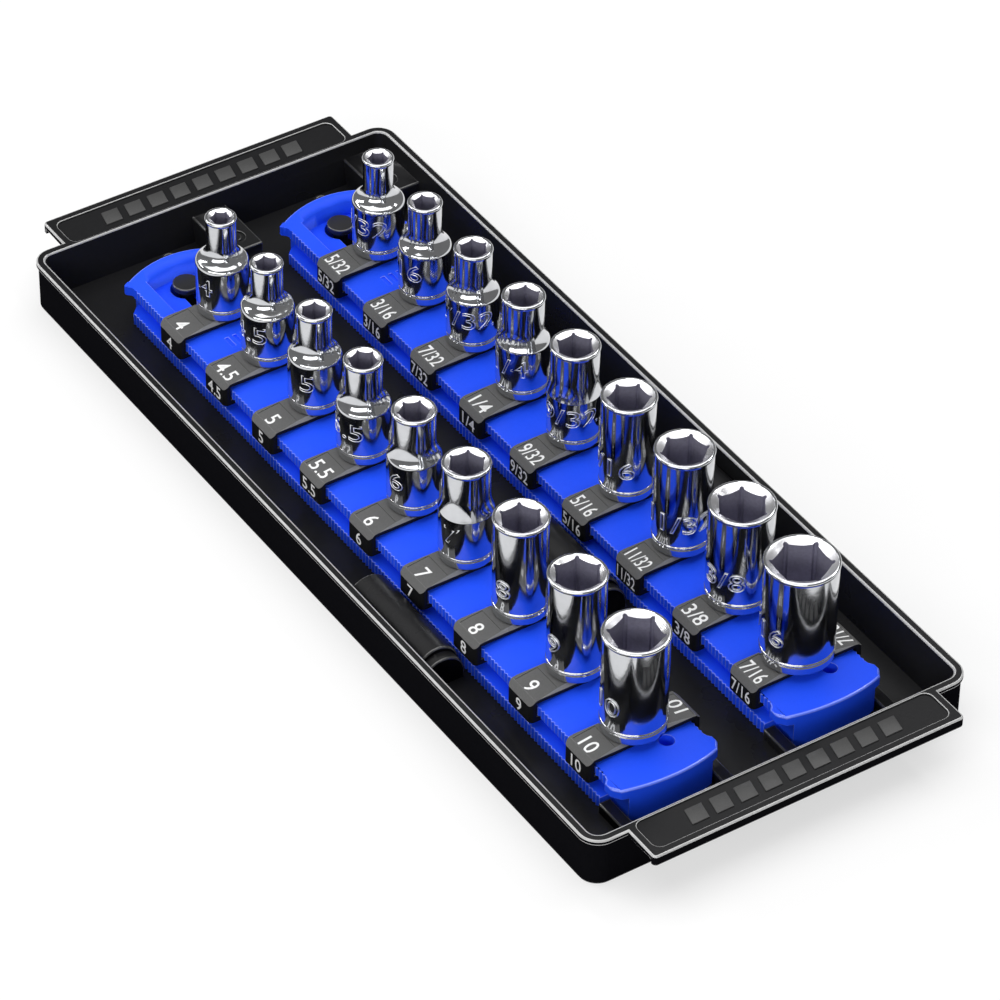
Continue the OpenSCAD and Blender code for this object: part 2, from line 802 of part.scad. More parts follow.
// Socket, drawn round its own axis with its foot on the seat
module socket(af, mouth_d, turn) {
    color(chrome_grey)
    translate([0, 0, seat_top_z])
    difference() {
        rotate_extrude()
            socket_outline(max(drive_end_d, mouth_d) / 2, mouth_d / 2);
        translate([-drive_side / 2, -drive_side / 2, -overrun])
            cube([drive_side, drive_side, drive_depth + overrun]);
        cylinder(h = socket_h, d = through_d(af));
        translate([0, 0, socket_h - hex_depth])
            rotate([0, 0, turn])
                cylinder(h = hex_depth + overrun, d = hex_width(af) / cos(30), $fn = 6);
        socket_countersink(mouth_d / 2 - mouth_bevel - mouth_land, hex_width(af) / 2);
    }
}

// Half of a socket's outside, from its axis outwards
module socket_outline(foot_r, mouth_r) {
    difference() {
        union() {
            square([foot_r, foot_r > mouth_r ? shoulder_z : socket_h]);
            square([mouth_r, socket_h]);
            if (foot_r > mouth_r)
                shoulder(foot_r, mouth_r);
        }
        translate([mouth_r, socket_h])
            rotate(45)
                square(mouth_bevel * sqrt(2), center = true);
        translate([foot_r - band_sink, -overrun])
            square([band_sink + overrun, band_h + overrun]);
        translate([foot_r - band_sink, 0])
            rotate(45)
                square(band_bevel * sqrt(2), center = true);
        translate([foot_r + groove_r - groove_depth, band_h + groove_w / 2])
            circle(groove_r);
    }
}

// Convex shoulder and hollow flare between the drive end and the nose, which run into each other
module shoulder(foot_r, mouth_r) {
    step = foot_r - mouth_r;
    round_r = min(shoulder_r, step);
    rise = nose_z - shoulder_z;
    flare_r = (rise * rise + step * step) / (2 * step) - round_r + arc_overlap;
    round_c = [foot_r - round_r, shoulder_z];
    flare_c = [mouth_r + flare_r, nose_z];
    translate(round_c)
        circle(round_r);
    difference() {
        polygon([[0, shoulder_z], round_c, flare_c, [mouth_r, nose_z], [0, nose_z]]);
        translate(flare_c)
            circle(flare_r, $fn = crown_sides);
    }
}

// Cone that opens the mouth down to the flats of the hexagon, and ends in the free space between them
module socket_countersink(r, flat_r) {
    tip_r = flat_r * countersink_tip_share;
    depth = (r - tip_r) * countersink_share;
    translate([0, 0, socket_h - depth])
        cylinder(h = depth + overrun, r1 = tip_r, r2 = r + overrun / countersink_share);
}

// Places a clip, post or socket at its place on its rail
module at_place(x, i) {
    translate([x, clip_y(i), 0])
        children();
}

tray();
translate([metric_x, 0, 0]) rail();  // metric_rail
translate([inch_x, 0, 0]) rail();  // inch_rail
translate([metric_x, 0, 0]) button();  // metric_button
translate([inch_x, 0, 0]) button();  // inch_button
for (i = [0:len(metric_tags) - 1]) {
    at_place(metric_x, i) clip();
    at_place(metric_x, i) post();
    at_place(metric_x, i) socket(metric_af[i], metric_mouth_d[i], metric_turns[i]);
}
for (i = [0:len(inch_tags) - 1]) {
    at_place(inch_x, i) clip();
    at_place(inch_x, i) post();
    at_place(inch_x, i) socket(inch * inch_size_shares[i], inch_mouth_d[i], inch_turns[i]);
}
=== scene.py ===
# %% [markdown]
# # Socket organizer drawer box
# A low black tray holds two blue rails. Each rail carries nine clips, each clip a post, and each post a
# chrome socket. The CAD model is loaded as a fixed frame, in metres, and every piece below takes its
# place from it.

import json
import math

import bmesh
import bpy
from mathutils import Matrix, Vector
from mathutils.bvhtree import BVHTree

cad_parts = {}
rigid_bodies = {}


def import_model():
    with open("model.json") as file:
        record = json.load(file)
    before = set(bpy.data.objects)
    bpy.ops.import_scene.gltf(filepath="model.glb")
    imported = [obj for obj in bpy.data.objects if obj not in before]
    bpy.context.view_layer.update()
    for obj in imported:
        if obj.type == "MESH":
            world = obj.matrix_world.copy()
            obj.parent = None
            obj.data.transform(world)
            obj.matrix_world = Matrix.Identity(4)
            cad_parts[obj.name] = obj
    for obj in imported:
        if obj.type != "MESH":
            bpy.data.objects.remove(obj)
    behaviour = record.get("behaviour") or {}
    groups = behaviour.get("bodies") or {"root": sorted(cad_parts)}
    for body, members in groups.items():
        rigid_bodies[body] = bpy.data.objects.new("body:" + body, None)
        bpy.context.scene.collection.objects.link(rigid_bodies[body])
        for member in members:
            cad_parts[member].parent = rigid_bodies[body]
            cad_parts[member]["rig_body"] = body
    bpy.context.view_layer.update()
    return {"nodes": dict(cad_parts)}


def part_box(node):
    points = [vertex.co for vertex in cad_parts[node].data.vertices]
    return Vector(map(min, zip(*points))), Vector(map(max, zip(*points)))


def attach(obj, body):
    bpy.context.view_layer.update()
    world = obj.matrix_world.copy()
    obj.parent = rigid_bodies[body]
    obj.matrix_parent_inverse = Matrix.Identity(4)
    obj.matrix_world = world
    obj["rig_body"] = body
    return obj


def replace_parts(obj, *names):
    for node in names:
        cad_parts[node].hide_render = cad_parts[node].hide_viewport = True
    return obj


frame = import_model()
nodes = frame["nodes"]
MM = 0.001

# %% Places that everything else is measured from
METRIC_SIZES = {"m4": 4, "m4_5": 4.5, "m5": 5, "m5_5": 5.5, "m6": 6, "m7": 7, "m8": 8, "m9": 9,
                "m10": 10}
INCH = 25.4
INCH_SIZES = {"i5_32": (5, 32), "i3_16": (3, 16), "i7_32": (7, 32), "i1_4": (1, 4),
              "i9_32": (9, 32), "i5_16": (5, 16), "i11_32": (11, 32), "i3_8": (3, 8),
              "i7_16": (7, 16)}
LABELS = {tag: "%g" % size for tag, size in METRIC_SIZES.items()}
LABELS.update({tag: "%d/%d" % size for tag, size in INCH_SIZES.items()})
HEX_WIDTHS = dict(METRIC_SIZES)
HEX_WIDTHS.update({tag: INCH * a / b for tag, (a, b) in INCH_SIZES.items()})


def middle(node):
    """The middle of a node's box, in millimetres."""
    low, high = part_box(node)
    return (low + high) / 2 / MM


for tag in ("m10", "i7_16"):
    print(LABELS[tag], "stands at", [round(v, 2) for v in middle("socket_" + tag)])

# %% [markdown]
# ## Camera
# The view of a catalogue picture is taken from far off with a long lens, so that parallel edges nearly
# stay parallel. A camera's place, direction, roll and lens fix it completely. The turn is written out
# from three angles, because that says more than nine numbers of a matrix.

# %% Camera
CAMERA_PLACE = (-0.49339, -0.74762, 0.76037)
AZIMUTH, ELEVATION, ROLL = (math.radians(a) for a in (33.712, 40.324, 0.80))
LENS = 194.47

forward = Vector((math.sin(AZIMUTH) * math.cos(ELEVATION), math.cos(AZIMUTH) * math.cos(ELEVATION),
                  -math.sin(ELEVATION)))
level = Vector((math.cos(AZIMUTH), -math.sin(AZIMUTH), 0))
upright = level.cross(forward)
right = level * math.cos(ROLL) + upright * math.sin(ROLL)
above = upright * math.cos(ROLL) - level * math.sin(ROLL)
camera = bpy.data.objects.new("camera", bpy.data.cameras.new("camera"))
bpy.context.scene.collection.objects.link(camera)
camera.matrix_world = Matrix((right, above, -forward)).transposed().to_4x4()
camera.location = CAMERA_PLACE
camera.data.lens = LENS
camera.data.sensor_width = 36
camera.data.clip_end = 20
bpy.context.scene.camera = camera
print("camera looks along", [round(v, 3) for v in forward])


# %% [markdown]
# ## Surface detail shared by the materials
# Moulded plastic is never one even shade: it has a grain from the mould and soft patches where the
# gloss changes. Both come from noise, which several materials need at their own scale, so they live in
# one node group that puts out a height and a patch value.

# %% Grain and patches, one node group
def new_group(name, inputs, outputs):
    group = bpy.data.node_groups.new(name, "ShaderNodeTree")
    for label, value in inputs.items():
        socket = group.interface.new_socket(label, in_out="INPUT", socket_type="NodeSocketFloat")
        socket.default_value = value
    for label in outputs:
        group.interface.new_socket(label, in_out="OUTPUT", socket_type="NodeSocketFloat")
    return group, group.nodes.new("NodeGroupInput"), group.nodes.new("NodeGroupOutput")


def moulded_surface():
    group, inside, outside = new_group(
        "moulded surface", {"Grain Scale": 3000, "Patch Scale": 60}, ("Grain", "Patches"))
    place = group.nodes.new("ShaderNodeTexCoord")
    for source, target, detail in (("Grain Scale", "Grain", 2), ("Patch Scale", "Patches", 4)):
        noise = group.nodes.new("ShaderNodeTexNoise")
        noise.inputs["Detail"].default_value = detail
        group.links.new(place.outputs["Object"], noise.inputs["Vector"])
        group.links.new(inside.outputs[source], noise.inputs["Scale"])
        group.links.new(noise.outputs["Fac"], outside.inputs[target])
    return group


SURFACE = moulded_surface()


# %% [markdown]
# ## Materials
# The shader is the same Principled shader each time. What differs is its colour, how rough it is, how
# much the patches change that, and how deep the grain is.

# %% A material with grain and patches
# The colour sockets of a Mix node, which has others of the same names.
COLOR_A, COLOR_B, COLOR_OUT = 6, 7, 2


def material(name, color, roughness, spread, grain, patch=60, bump=0.1, metallic=0.0, shade=0.15,
             gloss=0.5):
    """The patches take the roughness from roughness - spread to roughness + spread. The grain makes
    the colour darker and paler by the share that shade gives. gloss is how much the surface mirrors
    head-on."""
    made = bpy.data.materials.new(name)
    made.use_nodes = True
    made.diffuse_color = (*color, 1)
    tree = made.node_tree
    shader = tree.nodes["Principled BSDF"]
    shader.inputs["Metallic"].default_value = metallic
    shader.inputs["Specular IOR Level"].default_value = gloss
    surface = tree.nodes.new("ShaderNodeGroup")
    surface.node_tree = SURFACE
    surface.inputs["Grain Scale"].default_value = grain
    surface.inputs["Patch Scale"].default_value = patch
    ramp = tree.nodes.new("ShaderNodeMapRange")
    ramp.inputs["From Min"].default_value = 0.3
    ramp.inputs["From Max"].default_value = 0.7
    ramp.inputs["To Min"].default_value = roughness - spread
    ramp.inputs["To Max"].default_value = roughness + spread
    tree.links.new(surface.outputs["Patches"], ramp.inputs["Value"])
    tree.links.new(ramp.outputs["Result"], shader.inputs["Roughness"])
    tint = tree.nodes.new("ShaderNodeMix")
    tint.data_type = "RGBA"
    tint.inputs[COLOR_A].default_value = (*[c * (1 - shade) for c in color], 1)
    tint.inputs[COLOR_B].default_value = (*[min(c * (1 + shade), 1) for c in color], 1)
    tree.links.new(surface.outputs["Grain"], tint.inputs["Factor"])
    tree.links.new(tint.outputs[COLOR_OUT], shader.inputs["Base Color"])
    relief = tree.nodes.new("ShaderNodeBump")
    relief.inputs["Strength"].default_value = bump
    relief.inputs["Distance"].default_value = 0.00005
    tree.links.new(surface.outputs["Grain"], relief.inputs["Height"])
    tree.links.new(relief.outputs["Normal"], shader.inputs["Normal"])
    return made


# %% Finishes, with paler copies as painted highlights and darker copies as painted shade
TRAY_BLACK = material("tray black", (0.011, 0.011, 0.012), 0.3, 0.05,
                      grain=900, bump=0.04, gloss=0.15)
# A darker black with no gloss for the outer walls: painted shade.
TRAY_SIDE_SHADE = material("tray side painted shade", (0.004, 0.004, 0.005), 0.6, 0.05,
                     grain=900, bump=0.04, gloss=0.0)
# The rim's bevels: a pale grey copy of the black, a painted highlight.
RIM_HIGHLIGHT = material("rim painted highlight", (0.45, 0.45, 0.45), 0.25, 0.04, grain=900, bump=0.02, gloss=1.0)
# The other bevels of the tray and the buttons: a lighter black, a painted highlight.
TRAY_EDGE_HIGHLIGHT = material("tray edge highlight", (0.05, 0.05, 0.05), 0.25, 0.04, grain=900, bump=0.02, gloss=1.0)
RAIL_BLUE = material("rail blue", (0.015, 0.085, 1.0), 0.4, 0.05,
                     grain=1500, bump=0.06, shade=0.06, gloss=0.15)
# The rails' bevels: a paler blue, a painted highlight.
RAIL_EDGE_HIGHLIGHT = material("rail edge highlight", (0.12, 0.2, 1.0), 0.25, 0.05,
                     grain=1500, bump=0.03, shade=0.05, gloss=1.0)
CLIP_GREY = material("clip grey", (0.11, 0.11, 0.11), 0.55, 0.08,
                     grain=3500, bump=0.4, shade=0.25, gloss=0.3)
# The clips' bevels and front and back slopes: a lighter grey, a painted highlight.
CLIP_EDGE_HIGHLIGHT = material("clip edge highlight", (0.22, 0.22, 0.22), 0.35, 0.08,
                     grain=3500, bump=0.3, shade=0.2, gloss=0.8)
# The clips' upright faces: a near-black copy of the grey, a painted shade.
CLIP_SIDE_SHADE = material("clip side painted shade", (0.008, 0.008, 0.009), 0.5, 0.05,
                     grain=3500, bump=0.2, gloss=0.15)
POST_BLACK = material("post black", (0.02, 0.02, 0.02), 0.45, 0.05, grain=2500, bump=0.2)
CHROME = material("chrome", (0.62, 0.63, 0.65), 0.1, 0.04,
                  grain=350, patch=200, bump=0.35, metallic=1, shade=0.12)
# The rolled numbers: metal paler than the chrome, a painted highlight.
MARK_HIGHLIGHT = material("mark painted highlight", (0.92, 0.93, 0.95), 0.35, 0.05,
                       grain=4000, metallic=1, shade=0.03)
HEX_STEEL = material("hexagon steel", (0.36, 0.35, 0.44), 0.38, 0.08,
                     grain=1500, patch=400, bump=0.3,
                     metallic=0.6, shade=0.2)
CONE_SATIN = material("cone satin", (0.85, 0.85, 0.88), 0.3, 0.08,
                      grain=2500, bump=0.1, metallic=1, shade=0.05)
LABEL_WHITE = material("label white", (0.95, 0.95, 0.95), 0.5, 0.05,
                       grain=4000, bump=0.2, shade=0.03)
BUTTON_BLACK = material("button black", (0.012, 0.012, 0.013), 0.35, 0.08,
                        grain=2000, bump=0.3, gloss=0.4)
print("materials:", [m.name for m in bpy.data.materials])


# %% [markdown]
# ## Rounded edges
# A moulded piece has no knife edges: a small radius on each one catches a thin bright line. The CAD
# solids have sharp edges, so each plastic piece is a copy of its solid with its flat faces joined up
# again and a small bevel on every outer edge that really turns. The bevel is narrower where a face or
# a short edge leaves it less room, and a point that it still carries off the solid is put back on it.
# The bevel faces take a second material, a paler copy of the piece's colour that adds a painted
# highlight to the bright line.

# %% A softened copy of a CAD node
TURN_ANGLE, SAME_LINE = 35, 0.85
ROOM_SHARE, STRAY_SHARE = 0.4, 0.4


def link(name, mesh, materials, body):
    """Puts a mesh in the scene as a piece that rides on a body."""
    piece = bpy.data.objects.new(name, mesh)
    bpy.context.scene.collection.objects.link(piece)
    for item in materials:
        piece.data.materials.append(item)
    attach(piece, body)
    return piece


def settle(piece):
    """Writes a piece's modifiers into its mesh."""
    bpy.context.view_layer.update()
    seen = piece.evaluated_get(bpy.context.evaluated_depsgraph_get())
    mesh = bpy.data.meshes.new_from_object(seen)
    piece.modifiers.clear()
    piece.data = mesh


def smooth(mesh, degrees):
    mesh.polygons.foreach_set("use_smooth", [True] * len(mesh.polygons))
    mesh.set_sharp_from_angle(angle=math.radians(degrees))


def edge_widths(shape, width, share):
    """Gives each outer edge that turns by more than TURN_ANGLE degrees a bevel weight. It is smaller
    where a short edge meets it, so that no bevel runs into the next one."""
    layer = shape.edges.layers.float.new("bevel_weight_edge")

    def depth(edge, along):
        """How far the narrower of the edge's two faces reaches away from it."""
        start = edge.verts[0].co
        return min(max(((v.co - start) - along * (v.co - start).dot(along)).length for v in face.verts)
                   for face in edge.link_faces)

    turning = {e for e in shape.edges
               if len(e.link_faces) == 2 and e.is_convex
               and e.calc_face_angle() > math.radians(TURN_ANGLE)}
    for edge in turning:
        along = (edge.verts[1].co - edge.verts[0].co).normalized()
        room = depth(edge, along)
        for vertex in edge.verts:
            for other in vertex.link_edges:
                if other is not edge and other in turning:
                    direction = (other.verts[1].co - other.verts[0].co).normalized()
                    if abs(along.dot(direction)) < SAME_LINE:
                        room = min(room, other.calc_length())
        middle_of_edge = (edge.verts[0].co + edge.verts[1].co) / 2 / MM
        edge[layer] = min(share(middle_of_edge), ROOM_SHARE * room / (width * MM))


def bevelled(shape, node, width, segments, clamp, materials):
    """The mesh with its weighted edges rounded, and for each point where the bevel ran off the
    solid, its number and the nearest place on the solid."""
    mesh = bpy.data.meshes.new(node + "_soft")
    shape.to_mesh(mesh)
    for item in materials:
        mesh.materials.append(item)
    piece = bpy.data.objects.new(mesh.name, mesh)
    bpy.context.scene.collection.objects.link(piece)
    bevel = piece.modifiers.new("edges", "BEVEL")
    bevel.width = width * MM
    bevel.segments = segments
    bevel.limit_method = "WEIGHT"
    bevel.use_clamp_overlap = clamp
    # The bevel faces get the second slot, the paler copy that paints a highlight.
    bevel.material = 1
    settle(piece)
    made = piece.data
    bpy.data.objects.remove(piece)
    solid = nodes[node].data
    surface = BVHTree.FromPolygons([v.co for v in solid.vertices],
                                   [p.vertices for p in solid.polygons])
    nearest = {v.index: surface.find_nearest(v.co) for v in made.vertices}
    return made, {index: found[0] for index, found in nearest.items()
                  if found[3] > STRAY_SHARE * width * MM}


def softened(node, width, finish, segments=2, edge_highlight=None, share=lambda place: 1.0,
             clamp=False):
    """A copy of a CAD node with its edges rounded by a width in millimetres. It stands for the node.
    Where a bevel runs off the solid, its point is put back on the solid."""
    # The second material, for the bevel faces, is a paler copy of the finish: a painted highlight.
    materials = [finish, edge_highlight or finish]
    shape = bmesh.new()
    shape.from_mesh(nodes[node].data)
    bmesh.ops.remove_doubles(shape, verts=shape.verts, dist=0.002 * MM)
    bmesh.ops.dissolve_limit(shape, angle_limit=math.radians(0.1), verts=shape.verts,
                             edges=shape.edges)
    edge_widths(shape, width, share)
    mesh, stray = bevelled(shape, node, width, segments, clamp, materials)
    shape.free()
    for index, place in stray.items():
        mesh.vertices[index].co = place
    piece = link(node + "_soft", mesh, [], nodes[node]["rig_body"])
    smooth(piece.data, 40)
    weigh = piece.modifiers.new("flat faces", "WEIGHTED_NORMAL")
    weigh.keep_sharp = True
    settle(piece)
    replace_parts(piece, node)
    return piece


# %% Tray, rails and buttons
# The slots of a piece's materials: its finish comes first, then the bevels' painted highlight, then
# what is added: painted shade for the sides and a paler painted highlight for the tray's rim.
PLAIN, EDGE, SIDE, RIM = 0, 1, 2, 3
RIM_Z, OUTWARD = 0.0105, 0.03
PLAIN_NEAR, PLAIN_FAR, TOP_PLATE, SHARP_REACH = 7.4, 4.9, 2, 2
LOW_SHARE, END_SHARE, TEETH_SHARE = 0.3, 1.0, 0.25
tray = softened("tray", 0.4, TRAY_BLACK, segments=3, edge_highlight=TRAY_EDGE_HIGHLIGHT)
for finish in (TRAY_SIDE_SHADE, RIM_HIGHLIGHT):
    tray.data.materials.append(finish)
for face in tray.data.polygons:
    # Bevels on the rim take the pale grey, a painted highlight.
    if face.material_index == EDGE and face.center.z > RIM_Z:
        face.material_index = RIM
    # Faces of the outer walls take the darker black without gloss, a painted shade.
    outward = face.normal.x * face.center.x + face.normal.y * face.center.y
    if face.material_index == PLAIN and face.normal.z < 0.5 and outward > OUTWARD:
        face.material_index = SIDE
for rail in ("metric_rail", "inch_rail"):
    low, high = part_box(rail)
    plain_near, plain_far = low.y / MM + PLAIN_NEAR, high.y / MM - PLAIN_FAR
    plate = high.z / MM - TOP_PLATE

    def at_the_ends(place, near=plain_near, far=plain_far, plate=plate):
        """The teeth keep nearly sharp edges, and the smooth ends of the top plate are well rounded. The
        corner that a clip slides up to stays as it is."""
        if abs(place.y - far) < SHARP_REACH:
            return 0
        if place.z < plate:
            return LOW_SHARE
        return END_SHARE if place.y < near or place.y > far else TEETH_SHARE

    softened(rail, 0.5, RAIL_BLUE, segments=3, edge_highlight=RAIL_EDGE_HIGHLIGHT,
             share=at_the_ends)
for button in ("metric_button", "inch_button"):
    softened(button, 0.3, BUTTON_BLACK, segments=3, edge_highlight=TRAY_EDGE_HIGHLIGHT)
print("tray faces:", len(tray.data.polygons))

# %% Clips and posts
for tag in LABELS:
    clip = softened("clip_" + tag, 0.15, CLIP_GREY, edge_highlight=CLIP_EDGE_HIGHLIGHT, clamp=True)
    clip.data.materials.append(CLIP_SIDE_SHADE)
    # Upright faces take the near-black copy of the grey, a painted shade.
    for face in clip.data.polygons:
        if face.normal.z < 0.5:
            face.material_index = SIDE
        # The front and back slopes take the lighter grey, a painted highlight.
        elif abs(face.normal.y) > 0.3:
            face.material_index = EDGE
    nodes["post_" + tag].data.materials.clear()
    nodes["post_" + tag].data.materials.append(POST_BLACK)

# %% [markdown]
# ## Sockets
# A socket is turned on a lathe, so its outside is a profile carried round its axis. Its hexagon isn't
# round, but for each direction from the axis it still has just one distance. So one loft makes all of
# it: a list of rings, each with a radius and a height that may depend on the direction. Where the
# mouth's cone meets the hexagon, the height follows from the radius, and this gives the bowed edges
# that a real socket shows.

# %% Sizes of a socket, in millimetres
SOCKET_H = 25
SHOULDER_Z, NOSE_Z, SHOULDER_R = 12.8, 17.2, 1.4
BAND_SINK, BAND_BEVEL = 0.15, 0.5
MOUTH_ROUND, MOUTH_LAND, MOUTH_STEP, NECK_SINK = 0.45, 0.22, 0.09, 0.17
CONE_SLOPE, HEX_PLAY, HEX_DEPTH = 0.6, 0.1, 11
CORNER_RELIEF, CORNER_START = 0.06, 25
DRIVE_HALF, DRIVE_DEPTH, BORE_SHARE = 3.2, 8.5, 0.72
DIRECTIONS = 180
MOUTHS = {"m4": 7.1, "m4_5": 7.5, "m5": 8.1, "m5_5": 8.7, "m6": 9.8, "m7": 10.7, "m8": 12.2,
          "m9": 12.8, "m10": 14.5, "i5_32": 7.2, "i3_16": 7.9, "i7_32": 8.8, "i1_4": 9.7,
          "i9_32": 11.1, "i5_16": 12.3, "i11_32": 13.2, "i3_8": 14.6, "i7_16": 16.2}
TURNS = {"m4": 28, "m4_5": 11, "m5": 56, "m5_5": 20, "m6": 37, "m7": 53, "m8": 2, "m9": 58, "m10": 20,
         "i5_32": 30, "i3_16": 12, "i7_32": 3, "i1_4": 50, "i9_32": 2, "i5_16": 30, "i11_32": 40,
         "i3_8": 56, "i7_16": 27}


def arc(center, radius, start, end, steps):
    """Points on an arc, from one angle in degrees to another."""
    return [(center[0] + radius * math.cos(math.radians(start + (end - start) * k / steps)),
             center[1] + radius * math.sin(math.radians(start + (end - start) * k / steps)))
            for k in range(steps + 1)]


def outside_profile(foot, mouth):
    """Radius and height of the outside, from the foot's edge up to the mouth."""
    band = foot - BAND_SINK
    edge = BAND_BEVEL * 0.6
    points = [(band - BAND_BEVEL, 0)] + arc((band - edge, edge), edge, -60, 0, 4)
    points += [(band, 1.75), (foot - 0.4, 2.05)]
    points += arc((foot - 0.38, 2.42), 0.3, -70, 70, 8)
    neck = mouth - NECK_SINK
    body = foot if foot > mouth else neck
    points += [(foot - 0.3, 2.74), (body - 0.05, 2.86), (body, 2.95), (body, 3.1)]
    if foot > mouth:
        step = foot - neck
        shoulder = min(SHOULDER_R, step)
        rise = NOSE_Z - SHOULDER_Z
        flare = (rise * rise + step * step) / (2 * step) - shoulder
        lean = math.degrees(math.atan2(rise, neck + flare - foot + shoulder))
        points += [(foot, SHOULDER_Z - 0.1)]
        points += arc((foot - shoulder, SHOULDER_Z), shoulder, 0, lean, 8)
        points += arc((neck + flare, NOSE_Z), flare, 180 + lean, 180, 10)[1:]
        points += [(neck, NOSE_Z + 0.1)]
    points += [(neck, SOCKET_H - 1.1), (neck, SOCKET_H - 1.0),
               (neck + NECK_SINK * 0.7, SOCKET_H - 0.75)]
    points += arc((mouth - MOUTH_ROUND, SOCKET_H - MOUTH_ROUND), MOUTH_ROUND, -20, 90, 8)
    return points


def hex_radius(width, turn):
    """Distance from the axis to the hexagon in a direction. Its corners are relieved by a small groove."""
    half = (width + HEX_PLAY) / 2

    def distance(angle):
        off = abs((angle - turn) % 60 - 30)
        relief = CORNER_RELIEF if off > CORNER_START else 0
        return half / math.cos(math.radians(off)) * (1 + relief)
    return distance


def square_radius(angle):
    """Distance from the axis to the square drive hole in a direction."""
    a = math.radians(angle)
    return DRIVE_HALF / max(abs(math.cos(a)), abs(math.sin(a)))


# %% The loft, and eighteen sockets
def socket_mesh(tag, foot, mouth):
    width, turn = HEX_WIDTHS[tag], TURNS[tag]
    hexagon = hex_radius(width, turn)
    bore = min(2 * DRIVE_HALF, width + HEX_PLAY) * BORE_SHARE / 2
    cone = mouth - MOUTH_ROUND - MOUTH_LAND
    rings = [lambda a, p=p: p for p in outside_profile(foot, mouth)]
    rings += [lambda a: (cone + 0.06, SOCKET_H), lambda a: (cone, SOCKET_H - MOUTH_STEP)]
    rings += [lambda a: (cone - 0.03, SOCKET_H - MOUTH_STEP - 0.01)]
    for share in (0.33, 0.66, 1):
        rings.append(lambda a, s=share: (
            cone + (hexagon(a) - cone) * s,
            SOCKET_H - MOUTH_STEP - (cone - hexagon(a)) * s * CONE_SLOPE))
    first_hex = len(rings)
    rings += [lambda a: (hexagon(a) - 0.01, SOCKET_H - HEX_DEPTH * 0.5),
              lambda a: (hexagon(a) - 0.02, SOCKET_H - HEX_DEPTH),
              lambda a: (bore, SOCKET_H - HEX_DEPTH),
              lambda a: (bore, DRIVE_DEPTH),
              lambda a: (square_radius(a), DRIVE_DEPTH),
              lambda a: (square_radius(a), 0)]
    shape = bmesh.new()
    loops = []
    for ring in rings:
        loop = []
        for k in range(DIRECTIONS):
            angle = turn + 360 * k / DIRECTIONS
            r, z = ring(angle)
            loop.append(shape.verts.new((r * math.cos(math.radians(angle)) * MM,
                                         r * math.sin(math.radians(angle)) * MM, z * MM)))
        loops.append(loop)
    for i in range(len(loops)):
        lower, upper = loops[i], loops[(i + 1) % len(loops)]
        for k in range(DIRECTIONS):
            face = shape.faces.new((lower[k], lower[k - 1], upper[k - 1], upper[k]))
            if first_hex - 4 <= i < len(loops) - 1:
                face.material_index = 1 if i >= first_hex - 1 else 2
    bmesh.ops.recalc_face_normals(shape, faces=shape.faces)
    mesh = bpy.data.meshes.new("socket_%s_turned" % tag)
    shape.to_mesh(mesh)
    shape.free()
    smooth(mesh, 25)
    return mesh


for tag in LABELS:
    node = "socket_" + tag
    low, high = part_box(node)
    mouth = MOUTHS[tag] / 2
    mesh = socket_mesh(tag, max(6, mouth), mouth)
    mesh.transform(Matrix.Translation(((low.x + high.x) / 2, (low.y + high.y) / 2, low.z)))
    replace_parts(link(node + "_turned", mesh, [CHROME, HEX_STEEL, CONE_SATIN], node), node)
print("sockets: 18, faces in the last one:", len(mesh.polygons))


# %% [markdown]
# ## Numbers on the clips
# Each clip says its socket's size four times: on the pad left of the socket, turned half round on
# the pad right of it, and on both upright side faces. The numbers are printed text, so they are made
# from a text curve and thickened a little. Those on the pads are bent to the crowned top.

# %% Text as a mesh, laid on a surface
DIGIT_SHARE = 0.7  # the height of a digit as a share of the type's size


def text_mesh(name, words, height, extrude, weight=0.008, hollow=0.0):
    """Text with its middle at the origin, in millimetres: x along the line of text, y up its letters."""
    curve = bpy.data.curves.new(name, "FONT")
    curve.body = words
    curve.size = height / DIGIT_SHARE
    curve.align_x = "CENTER"
    curve.align_y = "CENTER"
    curve.resolution_u = 3
    curve.offset = weight * height
    if hollow:
        curve.fill_mode = "NONE"
        curve.bevel_depth = hollow
        curve.bevel_resolution = 1
    else:
        curve.extrude = extrude
    holder = bpy.data.objects.new(name, curve)
    bpy.context.scene.collection.objects.link(holder)
    bpy.context.view_layer.update()
    seen = holder.evaluated_get(bpy.context.evaluated_depsgraph_get())
    mesh = bpy.data.meshes.new_from_object(seen)
    bpy.data.objects.remove(holder)
    bpy.data.curves.remove(curve)
    xs = [v.co.x for v in mesh.vertices]
    ys = [v.co.y for v in mesh.vertices]
    mesh.transform(Matrix.Translation((-(min(xs) + max(xs)) / 2, -(min(ys) + max(ys)) / 2, 0)))
    mesh.name = name
    return mesh


def squeezed(mesh, longest):
    """Narrows text that is longer than a length."""
    xs = [v.co.x for v in mesh.vertices]
    length = max(xs) - min(xs)
    if length > longest:
        mesh.transform(Matrix.Diagonal((longest / length, 1, 1, 1)))
    return mesh


CLIP_HALF_W, CLIP_FALL, CROWN_Z = 14, 1.15, 13.3
CROWN_R = (CLIP_HALF_W ** 2 + CLIP_FALL ** 2) / (2 * CLIP_FALL)
PAD_MIDDLE, PAD_SINK, SIDE_DROP = 10.85, 0.12, 4.4
TOP_H, TOP_L, SIDE_H, SIDE_L, PRINT_T = 3.5, 6.4, 3.2, 6.6, 0.03


def laid(mesh, turn, place, bend=None):
    """Turns a mesh in millimetres, moves it, bends it and brings it to metres."""
    mesh.transform(Matrix.Translation(place) @ turn)
    if bend:
        for vertex in mesh.vertices:
            vertex.co = bend(vertex.co)
    mesh.transform(Matrix.Scale(MM, 4))
    return mesh


